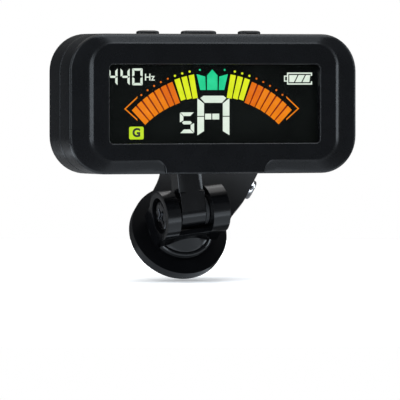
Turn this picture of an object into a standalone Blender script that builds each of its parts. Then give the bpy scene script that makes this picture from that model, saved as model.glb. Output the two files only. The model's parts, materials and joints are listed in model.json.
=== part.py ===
"""Clip-on tuner: a display head on a jointed neck, held by a spring clip.

World frame: +Z up, +X along the head's width, the display faces -Y. The origin is the middle of the
front pad's contact face, where the clip bears on an instrument's headstock.
"""

import math

import bmesh
import bpy
from mathutils import Matrix, Vector

MM = 0.001

# ---- driving dimensions, in millimetres and degrees ----
HEAD_WIDTH = 56.0
HEAD_HEIGHT = 25.3
HEAD_CORNER = 6.8
PANEL_WIDTH = 46.8          # flat raised panel of the front cover
PANEL_BOTTOM, PANEL_TOP = 2.6, 23.4
PANEL_PROUD = 0.8           # panel face in front of the cover's rim
TONGUE_WIDTH = 19.0         # panel's tongue down to the lower edge
FRONT_DEPTH = 4.6           # rim to parting line
PARTING_GAP = 0.3
REAR_FACE = 11.3            # rim to the rear cover's back
REAR_ROUND = 1.4
WALL = 1.4
WINDOW_WIDTH, WINDOW_HEIGHT = 41.0, 14.2
BUTTON_Y = 7.6              # behind the rim
BUTTON_PITCH = 9.95
BUTTON_DEPTH = 2.6
BUTTON_WIDTHS = {"left": 4.3, "middle": 6.8, "right": 4.3}
BUTTON_PROUD = 0.65
POST_RADIUS = 2.2
POST_X, POST_LOW, POST_HIGH = 24.5, 4.3, 21.0

NECK_ROLL = 7.0             # hinge axes against the head's width
CLIP_LEAN = 29.0            # the headstock's face against the vertical
ARM_LEAN = 8.0
CLIP_TURN = 40.0            # the clip's length about the turntable
ARM_LENGTH = 16.6
ARM_WIDTH = 4.8
ARM_DEPTH = 3.4
TILT_BEHIND_RIM = 15.2
TILT_HEIGHT = 9.0           # above the head's lower edge
HINGE_RISE = 7.3            # hinge axis above the clip disc's face
EAR_RADIUS = 4.5
EAR_NECK = 3.4              # half the width of the ears' necks on the foot
EAR_GAP = 6.5
EAR_LEFT, EAR_RIGHT = 2.6, 3.3
FOOT_RADIUS = 6.3
FOOT_DEPTH = 1.5
KNUCKLE_RADIUS = 2.9

DISC_RADIUS = 9.1
DISC_DEPTH = 2.2
PAD_RADIUS = 7.5
PAD_DEPTH = 1.6
CLIP_HALF_WIDTH = 8.4
CLIP_NECK_HALF = 7.6
CLIP_LENGTH = 35.0          # disc centre to the lever's end
PIVOT_ALONG, PIVOT_BEHIND = 20.5, 8.5
PIVOT_RADIUS = 1.25
LUG_RADIUS = 3.0
LUG_WALL = 1.6
JAW_DEPTH = 2.0
LEVER_ANGLE, LEVER_REACH = 21.0, 12.0
PAD_GAP = 0.3
REAR_RADIUS = 7.0           # round end of the rear jaw
REAR_SHIFT = 2.0            # its centre, from the disc's towards the levers

GAP = 0.3                   # between pieces that touch
SMALL_GAP = 0.12
FINE, COARSE = 40, 16       # sides of a large and of a small circle


# ---- materials ----
def material(name, color, roughness, metallic=0.0, alpha=1.0):
    made = bpy.data.materials.new(name)
    made.use_nodes = True
    shader = made.node_tree.nodes["Principled BSDF"]
    shader.inputs["Base Color"].default_value = (*color, 1.0)
    shader.inputs["Roughness"].default_value = roughness
    shader.inputs["Metallic"].default_value = metallic
    shader.inputs["Alpha"].default_value = alpha
    return made


# ---- outlines: lists of (u, v) points, counter-clockwise ----
def arc(u, v, radius, start, end, steps):
    """Points on a circle from one angle to another, in degrees, both ends included."""
    angles = [math.radians(start + (end - start) * i / steps) for i in range(steps + 1)]
    return [(u + radius * math.cos(a), v + radius * math.sin(a)) for a in angles]


def circle(u, v, radius, sides):
    return arc(u, v, radius, 0, 360, sides)[:-1]


def rounded_rectangle(u0, u1, v0, v1, radius, steps=6):
    points = []
    for u, v, start in (
        (u1 - radius, v1 - radius, 0),
        (u0 + radius, v1 - radius, 90),
        (u0 + radius, v0 + radius, 180),
        (u1 - radius, v0 + radius, 270),
    ):
        points += arc(u, v, radius, start, start + 90, steps)
    return points


def stadium(u, v, width, height, steps=5):
    radius = height / 2
    reach = width / 2 - radius
    return arc(u + reach, v, radius, -90, 90, steps) + arc(u - reach, v, radius, 90, 270, steps)


# ---- solids ----
class Build:
    """Collects what each object needs: its frame's empty, its material, and its place."""

    def __init__(self):
        self.scene = bpy.context.scene.collection

    def empty(self, name, matrix, parent=None):
        made = bpy.data.objects.new(name, None)
        made.empty_display_size = 0.005
        self.scene.objects.link(made)
        made.parent = parent
        made.matrix_world = matrix
        bpy.context.view_layer.update()
        return made

    def solid(self, name, mesh, parent, look=None, smooth=40.0):
        made = bpy.data.objects.new(name, mesh)
        self.scene.objects.link(made)
        made.parent = parent
        if look:
            mesh.materials.append(look)
            mesh.shade_smooth()
            mesh.set_sharp_from_angle(angle=math.radians(smooth))
        return made

    def boolean(self, target, name, mesh, operation="DIFFERENCE"):
        """Cuts or joins a hidden tool in the target's own frame."""
        tool = self.solid(f"{target.name}_{name}", mesh, target.parent)
        tool.hide_render = True
        tool.display_type = "WIRE"
        step = target.modifiers.new(name, "BOOLEAN")
        step.operation = operation
        step.object = tool


def mesh_from(bm, name):
    bmesh.ops.recalc_face_normals(bm, faces=bm.faces)
    mesh = bpy.data.meshes.new(name)
    bm.to_mesh(mesh)
    bm.free()
    return mesh


PLACES = {
    "X": lambda u, v, h: (h, u, v),
    "Y": lambda u, v, h: (u, h, v),
    "Z": lambda u, v, h: (u, v, h),
}


def loft(name, axis, sections):
    """A solid through (outline, height) sections with equal point counts, capped at both ends.

    The outline lies across the axis: (y, z) for X, (x, z) for Y and (x, y) for Z.
    """
    bm = bmesh.new()
    rings = []
    for outline, height in sections:
        place = PLACES[axis]
        rings.append([bm.verts.new(Vector(place(u, v, height)) * MM) for u, v in outline])
    for low, high in zip(rings, rings[1:]):
        count = len(low)
        for i in range(count):
            j = (i + 1) % count
            bm.faces.new((low[i], low[j], high[j], high[i]))
    bm.faces.new(list(reversed(rings[0])))
    bm.faces.new(rings[-1])
    return mesh_from(bm, name)


def prism(name, axis, outline, low, high):
    return loft(name, axis, [(outline, low), (outline, high)])


def turned(name, axis, profile, sides=COARSE, centre=(0.0, 0.0)):
    """A solid of revolution through (radius, height) points, both ends flat."""
    u, v = centre
    return loft(name, axis, [(circle(u, v, radius, sides), height) for radius, height in profile])


def tube(name, axis, outer, inner, low, high, sides=COARSE, centre=(0.0, 0.0)):
    """A ring with a through hole."""
    u, v = centre
    bm = bmesh.new()
    place = PLACES[axis]
    rings = []
    for radius, height in ((outer, low), (outer, high), (inner, high), (inner, low)):
        ring = circle(u, v, radius, sides)
        rings.append([bm.verts.new(Vector(place(p, q, height)) * MM) for p, q in ring])
    for low_ring, high_ring in zip(rings, rings[1:] + rings[:1]):
        for i in range(sides):
            j = (i + 1) % sides
            bm.faces.new((low_ring[i], low_ring[j], high_ring[j], high_ring[i]))
    return mesh_from(bm, name)


def frame(origin, x_axis, y_axis, z_axis):
    """A matrix from an origin in millimetres and three unit axes."""
    matrix = Matrix((x_axis, y_axis, z_axis)).transposed().to_4x4()
    matrix.translation = Vector(origin) * MM
    return matrix


# ---- frames: the neck and clip turn about axes parallel to the hinge axis ----
def key_frames():
    roll = math.radians(NECK_ROLL)
    lean = math.radians(CLIP_LEAN)
    arm_lean = math.radians(ARM_LEAN)
    turn = math.radians(CLIP_TURN)
    across = Vector((math.cos(roll), 0.0, math.sin(roll)))
    rise = Vector((-math.sin(roll), 0.0, math.cos(roll)))
    back = Vector((0.0, 1.0, 0.0))
    into = back * math.cos(lean) - rise * math.sin(lean)      # from the disc into the headstock
    up_plate = across.cross(into)
    arm_up = rise * math.cos(arm_lean) - back * math.sin(arm_lean)
    along = across * math.sin(turn) + up_plate * math.cos(turn)
    clip_across = into.cross(along)

    disc = -into * (DISC_DEPTH + GAP / 2 + PAD_DEPTH)
    hinge = disc - into * HINGE_RISE - across * (EAR_RIGHT - EAR_LEFT) / 2
    tilt = hinge + arm_up * ARM_LENGTH
    head = tilt - Vector((0.0, TILT_BEHIND_RIM, TILT_HEIGHT))
    pivot = disc + into * PIVOT_BEHIND + along * PIVOT_ALONG
    identity = (Vector((1, 0, 0)), Vector((0, 1, 0)), Vector((0, 0, 1)))
    return {
        "head": frame(head, *identity),
        "roll": frame(tilt, *identity),
        "tilt": frame(tilt, across, arm_up.cross(across), arm_up),
        "arm": frame(hinge, across, arm_up.cross(across), arm_up),
        "swivel": frame(disc, across, into, up_plate),
        "clip": frame(disc, clip_across, into, along),
        "rear_jaw": frame(pivot, clip_across, into, along),
    }


# ---- head ----
def head_outline(inset=0.0, radius_inset=None):
    radius = HEAD_CORNER - (inset if radius_inset is None else radius_inset)
    half = HEAD_WIDTH / 2 - inset
    return rounded_rectangle(-half, half, inset, HEAD_HEIGHT - inset, radius)


def panel_outline(grow=0.0):
    half = PANEL_WIDTH / 2 + grow
    radius = HEAD_CORNER - 3.0 + grow
    return rounded_rectangle(-half, half, PANEL_BOTTOM - grow, PANEL_TOP + grow, radius)


def cavity_outline():
    """The inside of the covers, which leaves a round screw post in each corner."""
    half = HEAD_WIDTH / 2 - WALL
    low, high = WALL, HEAD_HEIGHT - WALL
    reach = POST_RADIUS
    points = []
    for sx, z, edge, start in (
        (1, POST_HIGH, high, 180),
        (-1, POST_HIGH, high, 270),
        (-1, POST_LOW, low, 0),
        (1, POST_LOW, low, 90),
    ):
        post = arc(sx * POST_X, z, reach, start + 90, start, 6)
        first = (sx * half, post[0][1]) if start in (180, 0) else (post[0][0], edge)
        last = (post[-1][0], edge) if start in (180, 0) else (sx * half, post[-1][1])
        points += [first] + post + [last]
    return points


def front_shell(build, frames, look):
    sections = [
        (panel_outline(), -PANEL_PROUD),
        (panel_outline(0.5), -PANEL_PROUD + 0.06),
        (head_outline(0.25), -0.12),
        (head_outline(), 0.25),
        (head_outline(), FRONT_DEPTH),
    ]
    shell = build.solid("front_shell", loft("front_shell", "Y", sections), frames["head"], look)
    half = TONGUE_WIDTH / 2
    flare = 2.5
    tongue = (
        [(-half, 0.3), (half, 0.3)]
        + arc(half + flare, PANEL_BOTTOM - flare + 0.1, flare, 180, 90, 5)
        + [(half + flare, PANEL_BOTTOM + 3), (-half - flare, PANEL_BOTTOM + 3)]
        + arc(-half - flare, PANEL_BOTTOM - flare + 0.1, flare, 90, 0, 5)
    )
    build.boolean(shell, "tongue", prism("tongue", "Y", tongue, -PANEL_PROUD, 0.6), "UNION")
    build.boolean(shell, "cavity", prism("cavity", "Y", cavity_outline(), 1.0, FRONT_DEPTH + 1))
    middle = HEAD_HEIGHT / 2
    half, tall = WINDOW_WIDTH / 2, WINDOW_HEIGHT / 2
    window = rounded_rectangle(-half, half, middle - tall, middle + tall, 0.6, 2)
    build.boolean(shell, "window", prism("window", "Y", window, -2, 2))
    half, tall = half + 1.3, tall + 1.3
    pocket = rounded_rectangle(-half, half, middle - tall, middle + tall, 0.6, 1)
    build.boolean(shell, "pocket", prism("pocket", "Y", pocket, 0.35, 1.5))
    for n, (x, z) in enumerate(post_places(), 1):
        hole = turned("hole", "Y", [(0.9, 1.4), (0.9, FRONT_DEPTH + 1)], 12, (x, z))
        build.boolean(shell, f"screw_{n}", hole)


def post_places():
    return [(sx * POST_X, z) for z in (POST_LOW, POST_HIGH) for sx in (-1, 1)]


def rear_shell(build, frames, look):
    start = FRONT_DEPTH + PARTING_GAP
    sections = [(head_outline(), start)]
    for i in range(5):
        angle = math.radians(90 * i / 4)
        inset = REAR_ROUND * (1 - math.cos(angle))
        sections.append((head_outline(inset), REAR_FACE - REAR_ROUND * (1 - math.sin(angle))))
    shell = build.solid("rear_shell", loft("rear_shell", "Y", sections), frames["head"], look)
    floor = REAR_FACE - WALL
    build.boolean(shell, "cavity", prism("cavity", "Y", cavity_outline(), start - 1, floor))
    for n, (x, z) in enumerate(post_places(), 1):
        steps = [(1.05, start - 1), (1.05, REAR_FACE - 1.6), (2.0, REAR_FACE - 1.6)]
        steps.append((2.0, REAR_FACE + 1))
        build.boolean(shell, f"screw_{n}", turned("hole", "Y", steps, 12, (x, z)))
    bearing = turned("bearing", "Y", [(2.5, floor - 1), (2.5, REAR_FACE + 1)], 24, (0, TILT_HEIGHT))
    build.boolean(shell, "bearing", bearing)
    for place, (x, width) in button_places().items():
        slot = stadium(x, BUTTON_Y, width + 0.4, BUTTON_DEPTH + 0.4)
        low, high = HEAD_HEIGHT - WALL - 1, HEAD_HEIGHT + 1
        build.boolean(shell, f"button_{place}", prism("slot", "Z", slot, low, high))
    middle = HEAD_HEIGHT / 2
    port = stadium(6.9, middle, 3.5, 3.5)
    port = [(y, z + (4.5 - 1.75) * (1 if z > middle else -1)) for y, z in port]
    edge = HEAD_WIDTH / 2
    build.boolean(shell, "port", prism("port", "X", port, edge - WALL - 1, edge + 1))


def button_places():
    return {
        "left": (-BUTTON_PITCH, BUTTON_WIDTHS["left"]),
        "middle": (0.0, BUTTON_WIDTHS["middle"]),
        "right": (BUTTON_PITCH, BUTTON_WIDTHS["right"]),
    }


def head_inside(build, frames, looks):
    middle = HEAD_HEIGHT / 2

    def plate(name, look, width, height, low, high, x=0.0, z=middle, corner=0.4):
        outline = rounded_rectangle(
            x - width / 2, x + width / 2, z - height / 2, z + height / 2, corner, 2
        )
        return build.solid(name, prism(name, "Y", outline, low, high), frames["head"], looks[look])

    plate("display_window", "window", WINDOW_WIDTH + 2.2, WINDOW_HEIGHT + 2.2, 0.45, 1.25)
    plate("lcd_panel", "display", 43.6, 17.0, 1.45, 2.5)
    plate("backlight", "white_plastic", 43.6, 17.4, 2.62, 3.6)
    plate("circuit_board", "board", 43.6, 19.6, 3.75, 4.45)
    plate("battery", "foil", 15.6, 13.0, 5.2, 8.7, x=-13.6, z=11.4, corner=1.0)
    sensor = turned("piezo_sensor", "Y", [(5.0, 9.3), (5.0, 9.65)], 24, (12.0, 10.0))
    build.solid("piezo_sensor", sensor, frames["head"], looks["brass"])

    port = stadium(6.9, middle, 3.1, 3.1)
    port = [(y, z + (4.4 - 1.55) * (1 if z > middle else -1)) for y, z in port]
    inner = [(6.9 + (y - 6.9) * 0.78, middle + (z - middle) * 0.92) for y, z in port]
    edge = HEAD_WIDTH / 2
    socket = build.solid(
        "usb_socket", prism("usb_socket", "X", port, edge - 7.5, edge - 0.3), frames["head"],
        looks["steel"],
    )
    build.boolean(socket, "mouth", prism("mouth", "X", inner, edge - 6.5, edge + 1))

    for place, (x, _) in button_places().items():
        name = f"tact_switch_{place}"
        body = rounded_rectangle(x - 2.0, x + 2.0, 5.0, 8.9, 0.3, 1)
        switch = build.solid(
            name, prism(name, "Z", body, 19.4, 21.4), frames["head"], looks["dark_plastic"]
        )
        plunger = turned("plunger", "Z", [(0.9, 21.0), (0.9, 22.2)], 12, (x, BUTTON_Y))
        build.boolean(switch, "plunger", plunger, "UNION")

    for n, (x, z) in enumerate(post_places(), 1):
        name = f"shell_screw_{n}"
        profile = [(0.7, 1.8), (0.7, REAR_FACE - 1.3), (1.75, REAR_FACE - 1.3)]
        profile.append((1.75, REAR_FACE - 0.25))
        screw = turned(name, "Y", profile, 12, (x, z))
        build.solid(name, screw, frames["head"], looks["dark_steel"])


def buttons(build, frames, look):
    """Each cap is a stadium through the top wall, with a wider flange under it."""
    top = HEAD_HEIGHT + BUTTON_PROUD
    under = HEAD_HEIGHT - WALL
    for place, (x, width) in button_places().items():
        axis = frames[f"button_{place}"]

        def cap(inset):
            return stadium(0, 0, width - 2 * inset, BUTTON_DEPTH - 2 * inset)

        sections = [
            (cap(-0.5), under - 0.9),
            (cap(-0.5), under - 0.25),
            (cap(0), under - 0.25),
            (cap(0), top - 0.3),
            (cap(0.25), top),
        ]
        sections = [(outline, height - HEAD_HEIGHT) for outline, height in sections]
        name = f"button_{place}"
        build.solid(name, loft(name, "Z", sections), axis, look)


# ---- neck ----
def swivel(build, frames, looks):
    """Spindle in the rear cover, flange behind it and a tongue for the tilt pin.

    It is made in the roll frame, whose origin is on the tilt axis: -Y runs into the head.
    """
    face = REAR_FACE - TILT_BEHIND_RIM
    floor = face - WALL
    profile = [(2.2, floor - 0.3), (2.2, face + 0.3), (4.2, face + 0.3), (4.2, face + 1.1)]
    knuckle = build.solid(
        "swivel_knuckle", turned("swivel_knuckle", "Y", profile, 32), frames["roll"], looks["black"]
    )
    tongue = [(face + 0.8, -2.1), (0.0, -2.1)] + arc(0, 0, 2.1, -80, 80, 8)
    tongue += [(0.0, 2.1), (face + 0.8, 2.1)]
    half = 0.9
    roll = Matrix.Rotation(-math.radians(NECK_ROLL), 4, "Y")
    blade = prism("blade", "X", tongue, -half, half)
    blade.transform(roll)
    build.boolean(knuckle, "tongue", blade, "UNION")
    eye = turned("eye", "X", [(1.15, -3), (1.15, 3)], 16)
    eye.transform(roll)
    build.boolean(knuckle, "eye", eye)
    bore = turned("bore", "Y", [(1.1, floor - 1), (1.1, face + 0.1)], 12)
    build.boolean(knuckle, "bore", bore)

    washer = tube("swivel_washer", "Y", 3.8, 1.3, floor - 1.0, floor - 0.42, 24)
    build.solid("swivel_washer", washer, frames["roll"], looks["steel"])
    profile = [(2.0, floor - 2.1), (2.0, floor - 1.12), (0.9, floor - 1.12), (0.9, face - 0.1)]
    screw = turned("swivel_screw", "Y", profile, 12)
    build.solid("swivel_screw", screw, frames["roll"], looks["steel"])


def arm(build, frames, looks):
    """Link from the hinge eye at its origin up to the tilt fork."""
    half = ARM_DEPTH / 2
    top, fork = ARM_LENGTH, 2.4
    side = arc(0, 0, KNUCKLE_RADIUS, 165, 405, 16)
    side += [(half, 3.2), (half, top - 3.2)]
    side += arc(0, top, fork, -20, 200, 12)
    side += [(-half - 0.3, top - 3.2), (-half - 0.8, 5.0)]
    low, high = -ARM_WIDTH / 2, ARM_WIDTH / 2
    link = build.solid("arm", prism("arm", "X", side, low, high), frames["arm"], looks["black"])
    slot = [(-5.0, top - 3.4), (5.0, top - 3.4), (5.0, top + 5), (-5.0, top + 5)]
    build.boolean(link, "fork", prism("fork", "X", slot, -1.2, 1.2))
    build.boolean(link, "eye", turned("eye", "X", [(1.3, -4), (1.3, 4)], 16))
    pin_hole = turned("pin_hole", "X", [(1.15, -4), (1.15, 4)], 16, (0, top))
    build.boolean(link, "pin_hole", pin_hole)

    pin = turned("tilt_pin", "X", [(0.95, -2.45), (0.95, 2.45)], 16)
    build.solid("tilt_pin", pin, frames["tilt"], looks["steel"])


def yoke(build, frames, looks):
    """Round foot and two ears. Its frame has -Y away from the clip; the hinge is at -HINGE_RISE."""
    half = (EAR_GAP + EAR_LEFT + EAR_RIGHT) / 2
    left, right = -half, half
    gap_left, gap_right = left + EAR_LEFT, right - EAR_RIGHT
    hinge = -HINGE_RISE
    foot_top = -FOOT_DEPTH
    profile = [(FOOT_RADIUS - 0.4, foot_top), (FOOT_RADIUS, foot_top + 0.4), (FOOT_RADIUS, -0.25)]
    foot = turned("yoke", "Y", profile, FINE)
    body = build.solid("yoke", foot, frames["swivel"], looks["black"])
    ear = [(-0.8, EAR_NECK)] + arc(hinge, 0, EAR_RADIUS, 50, 310, 22) + [(-0.8, -EAR_NECK)]
    build.boolean(body, "ears", prism("ears", "X", list(reversed(ear)), left, right), "UNION")
    clear = KNUCKLE_RADIUS + 0.7
    gap = [(hinge + 2.2, 6)] + arc(hinge, 0, clear, 52, -90, 12)
    gap += [(hinge, -6), (hinge - 8, -6), (hinge - 8, 6)]
    gap = prism("gap", "X", list(reversed(gap)), gap_left, gap_right)
    build.boolean(body, "gap", gap)
    hole = turned("hole", "X", [(1.3, -9), (1.3, 9)], 16, (hinge, 0))
    build.boolean(body, "hole", hole)
    sink = turned("sink", "X", [(3.3, left - 1), (3.3, left + 1.3)], 24, (hinge, 0))
    build.boolean(body, "sink", sink)
    hexagon = circle(hinge, 0, 2.75, 6)
    build.boolean(body, "nut_seat", prism("nut_seat", "X", hexagon, right - 1.7, right + 1))
    spigot = turned("spigot", "Y", [(2.9, -0.6), (2.9, 0.95)], 24)
    build.boolean(body, "spigot", spigot, "UNION")
    bore = turned("bore", "Y", [(1.1, -0.75), (1.1, 2)], 12)
    build.boolean(body, "bore", bore)

    head = left + 0.35
    profile = [(2.7, head), (2.7, left + 1.18), (1.05, left + 1.18), (1.05, right - 0.3)]
    screw = turned("hinge_screw", "X", profile, 20, (hinge, 0))
    screw = build.solid("hinge_screw", screw, frames["swivel"], looks["chrome"])
    slot = [(hinge - 2, -0.3), (hinge + 2, -0.3), (hinge + 2, 0.3), (hinge - 2, 0.3)]
    build.boolean(screw, "slot", prism("slot", "X", slot, head - 1, head + 0.45))
    cross = [(hinge - 0.3, -2), (hinge + 0.3, -2), (hinge + 0.3, 2), (hinge - 0.3, 2)]
    build.boolean(screw, "cross", prism("cross", "X", cross, head - 1, head + 0.45))

    nut = build.solid(
        "hinge_nut", prism("hinge_nut", "X", circle(hinge, 0, 2.55, 6), right - 1.58, right - 0.2),
        frames["swivel"], looks["steel"],
    )
    build.boolean(nut, "thread", turned("thread", "X", [(1.2, 0), (1.2, 9)], 12, (hinge, 0)))

    thick = (EAR_GAP - ARM_WIDTH) / 2 - 2 * SMALL_GAP
    for place, low in (("left", gap_left), ("right", gap_right - thick - 2 * SMALL_GAP)):
        name = f"friction_washer_{place}"
        low += SMALL_GAP
        ring = tube(name, "X", 2.7, 1.3, low, low + thick, 20, (hinge, 0))
        build.solid(name, ring, frames["swivel"], looks["dark_plastic"])

    washer = tube("turntable_washer", "Y", 4.6, 1.3, 1.3, 1.8, 24)
    build.solid("turntable_washer", washer, frames["swivel"], looks["steel"])
    profile = [(0.9, -0.5), (0.9, 1.92), (1.9, 1.92), (1.9, 2.7)]
    screw = turned("turntable_screw", "Y", profile, 12)
    build.solid("turntable_screw", screw, frames["swivel"], looks["steel"])


# ---- clip: across is X, into the headstock is +Y, along towards the levers is +Z ----
def front_jaw(build, frames, looks):
    neck, wide = CLIP_NECK_HALF, CLIP_HALF_WIDTH
    start = math.degrees(math.asin(neck / DISC_RADIUS))
    tip = 5.0
    outline = arc(0, 0, DISC_RADIUS, 90 + start, 450 - start, 30)
    outline += [(neck, 8.0), (neck + 0.3, 10.2), (wide, 12.8)]
    outline += arc(wide - tip, CLIP_LENGTH - tip, tip, 0, 90, 6)
    outline += arc(-wide + tip, CLIP_LENGTH - tip, tip, 90, 180, 6)
    outline += [(-wide, 12.8), (-neck - 0.3, 10.2), (-neck, 8.0)]
    plate = prism("front_jaw", "Y", outline, 0.0, DISC_DEPTH)
    jaw = build.solid("front_jaw", plate, frames["clip"], looks["black"])
    lug = arc(PIVOT_BEHIND, PIVOT_ALONG, LUG_RADIUS, -60, 60, 8)
    lug += [(1.0, PIVOT_ALONG + 7), (1.0, PIVOT_ALONG - 7)]
    for name, low in (("left", -wide), ("right", wide - LUG_WALL)):
        mesh = prism("lug", "X", lug, low + 0.02, low + LUG_WALL - 0.02)
        build.boolean(jaw, f"lug_{name}", mesh, "UNION")
    hole = turned("hole", "X", [(PIVOT_RADIUS + 0.2, -12), (PIVOT_RADIUS + 0.2, 12)], 16,
                  (PIVOT_BEHIND, PIVOT_ALONG))
    build.boolean(jaw, "pin_hole", hole)
    steps = [(3.2, -1), (3.2, 1.1), (5.0, 1.1), (5.0, DISC_DEPTH + 1)]
    build.boolean(jaw, "bearing", turned("bearing", "Y", steps, 24))

    low = DISC_DEPTH + GAP / 2
    pad = turned("front_pad", "Y", [(PAD_RADIUS, low), (PAD_RADIUS, low + PAD_DEPTH - 0.3),
                                    (PAD_RADIUS - 0.3, low + PAD_DEPTH)], FINE)
    pad = build.solid("front_pad", pad, frames["clip"], looks["rubber"])
    build.boolean(pad, "dimple", turned("dimple", "Y", [(2.6, 0), (2.6, low + 0.8)], 16))


def rear_jaw(build, frames, looks):
    """Arched jaw and finger lever, in the pivot's frame."""
    pad_face = DISC_DEPTH + GAP / 2 + PAD_DEPTH + PAD_GAP
    inner = pad_face + PAD_DEPTH + GAP / 2 - PIVOT_BEHIND
    centre = REAR_SHIFT - PIVOT_ALONG
    near, far = centre - REAR_RADIUS, -PIVOT_ALONG + 8.0
    depth = JAW_DEPTH
    clear = LUG_RADIUS + 0.9
    lever = math.radians(LEVER_ANGLE)
    reach = LEVER_REACH
    tip = (clear + reach * math.tan(lever), reach)
    slope = (math.sin(lever), math.cos(lever))
    inside = [(inner, near), (inner, far), (inner + 1.2, far + 1.7), (clear - 0.6, -4.6)]
    inside += [(clear, -2.6), (clear, 0.0), tip]
    outside = [(tip[0] + depth * slope[1], tip[1] - depth * slope[0]), (clear + depth, -0.6)]
    outside += [(clear + depth, -3.4), (clear - 0.4 + depth, -5.6)]
    outside += [(inner + 1.0 + depth, far + 0.5), (inner + depth, far - 1.4), (inner + depth, near)]
    half = CLIP_HALF_WIDTH - 1.2
    jaw = build.solid(
        "rear_jaw", prism("rear_jaw", "X", inside + outside, -half, half), frames["rear_jaw"],
        looks["black"],
    )
    plan = arc(0, centre, REAR_RADIUS, 180, 360, 20) + [(half, centre + 4.0)]
    plan += arc(half - 4.0, reach - 3.6, 4.0, 0, 90, 5) + arc(4.0 - half, reach - 3.6, 4.0, 90, 180, 5)
    plan += [(-half, centre + 4.0)]
    build.boolean(jaw, "plan", prism("plan", "Y", plan, -15, 25), "INTERSECT")
    lug = arc(0, 0, LUG_RADIUS, 120, 240, 8) + [(clear + 0.8, -3.2), (clear + 0.8, 3.2)]
    lug_inner = CLIP_HALF_WIDTH - LUG_WALL - GAP
    for name, low in (("left", -lug_inner), ("right", lug_inner - LUG_WALL)):
        build.boolean(jaw, f"lug_{name}", prism("lug", "X", lug, low, low + LUG_WALL), "UNION")
    for name, low in (("left", -half - 1), ("right", lug_inner)):
        lane = [(LUG_RADIUS + 0.3, -4), (LUG_RADIUS + 0.3, 4), (-5, 4), (-5, -4)]
        build.boolean(jaw, f"lane_{name}", prism("lane", "X", lane, low, low + 2.0))
    hole = turned("hole", "X", [(PIVOT_RADIUS + 0.15, -12), (PIVOT_RADIUS + 0.15, 12)], 16)
    build.boolean(jaw, "pin_hole", hole)

    low = pad_face - PIVOT_BEHIND
    side = REAR_RADIUS - 0.4
    outline = arc(0, centre, side, 180, 360, 20)
    outline += [(side, far - 1.4), (side - 1.0, far - 0.4), (1.0 - side, far - 0.4), (-side, far - 1.4)]
    pad = prism("rear_pad", "Y", outline, low, low + PAD_DEPTH)
    build.solid("rear_pad", pad, frames["rear_jaw"], looks["rubber"])


def pivot(build, frames, looks):
    wide = CLIP_HALF_WIDTH
    profile = [(1.5, -wide - 1.1), (1.9, -wide - 0.9), (1.9, -wide - 0.15),
               (PIVOT_RADIUS, -wide - 0.15), (PIVOT_RADIUS, wide + 0.15), (1.9, wide + 0.15),
               (1.9, wide + 0.9), (1.5, wide + 1.1)]
    pin = turned("pivot_pin", "X", profile, 16, (PIVOT_BEHIND, PIVOT_ALONG))
    build.solid("pivot_pin", pin, frames["clip"], looks["chrome"])

    turns, wire, coil, per_turn = 5, 0.42, 2.05, 14
    width = 5.4
    # the coil starts and ends where its legs leave it towards the two levers
    leave_front, leave_rear = 180.0, 0.0
    sweep = 360 * turns + leave_rear - leave_front
    count = int(sweep / 360 * per_turn)
    route = [Vector((-width / 2, DISC_DEPTH + wire + 0.15, PIVOT_ALONG + 9.0))]
    for i in range(count + 1):
        angle = math.radians(leave_front - sweep * i / count)
        x = -width / 2 + width * i / count
        y = PIVOT_BEHIND + coil * math.cos(angle)
        route.append(Vector((x, y, PIVOT_ALONG - coil * math.sin(angle))))
    lever = PIVOT_BEHIND + LUG_RADIUS + 0.9 + 8.0 * math.tan(math.radians(LEVER_ANGLE))
    route.append(Vector((width / 2, lever - wire - 0.3, PIVOT_ALONG + 8.0)))
    curve = bpy.data.curves.new("clip_spring", "CURVE")
    curve.dimensions = "3D"
    curve.bevel_depth = wire * MM
    curve.bevel_resolution = 1
    curve.use_fill_caps = True
    line = curve.splines.new("POLY")
    line.points.add(len(route) - 1)
    for point, place in zip(line.points, route):
        point.co = (*(place * MM), 1.0)
    spring = bpy.data.objects.new("clip_spring", curve)
    build.scene.objects.link(spring)
    spring.parent = frames["clip"]
    curve.materials.append(looks["steel"])


def main():
    for old in list(bpy.data.objects):
        bpy.data.objects.remove(old)
    looks = {
        "shell": material("shell_plastic", (0.018, 0.019, 0.021), 0.38),
        "black": material("black_plastic", (0.016, 0.017, 0.019), 0.42),
        "button": material("button_plastic", (0.020, 0.021, 0.023), 0.45),
        "dark_plastic": material("dark_plastic", (0.03, 0.03, 0.03), 0.5),
        "white_plastic": material("white_plastic", (0.85, 0.86, 0.84), 0.5),
        "window": material("window_plastic", (0.05, 0.05, 0.05), 0.05, alpha=0.35),
        "display": material("display_glass", (0.01, 0.012, 0.01), 0.2),
        "board": material("board_laminate", (0.02, 0.12, 0.05), 0.5),
        "foil": material("battery_foil", (0.6, 0.6, 0.62), 0.35, 0.8),
        "brass": material("sensor_brass", (0.70, 0.53, 0.25), 0.3, 1.0),
        "steel": material("steel", (0.55, 0.55, 0.56), 0.35, 1.0),
        "dark_steel": material("dark_steel", (0.05, 0.05, 0.055), 0.35, 1.0),
        "chrome": material("chrome", (0.75, 0.75, 0.77), 0.12, 1.0),
        "rubber": material("rubber", (0.02, 0.02, 0.02), 0.8),
    }
    build = Build()
    frames = {}
    for name, matrix in key_frames().items():
        frames[name] = build.empty(f"{name}_axis", matrix)
    head = frames["head"].matrix_world
    for place, (x, _) in button_places().items():
        middle = Matrix.Translation(Vector((x, BUTTON_Y, HEAD_HEIGHT)) * MM)
        frames[f"button_{place}"] = build.empty(f"button_{place}_axis", head @ middle)

    front_shell(build, frames, looks["shell"])
    rear_shell(build, frames, looks["shell"])
    head_inside(build, frames, looks)
    buttons(build, frames, looks["button"])
    swivel(build, frames, looks)
    arm(build, frames, looks)
    yoke(build, frames, looks)
    front_jaw(build, frames, looks)
    rear_jaw(build, frames, looks)
    pivot(build, frames, looks)


main()
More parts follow.
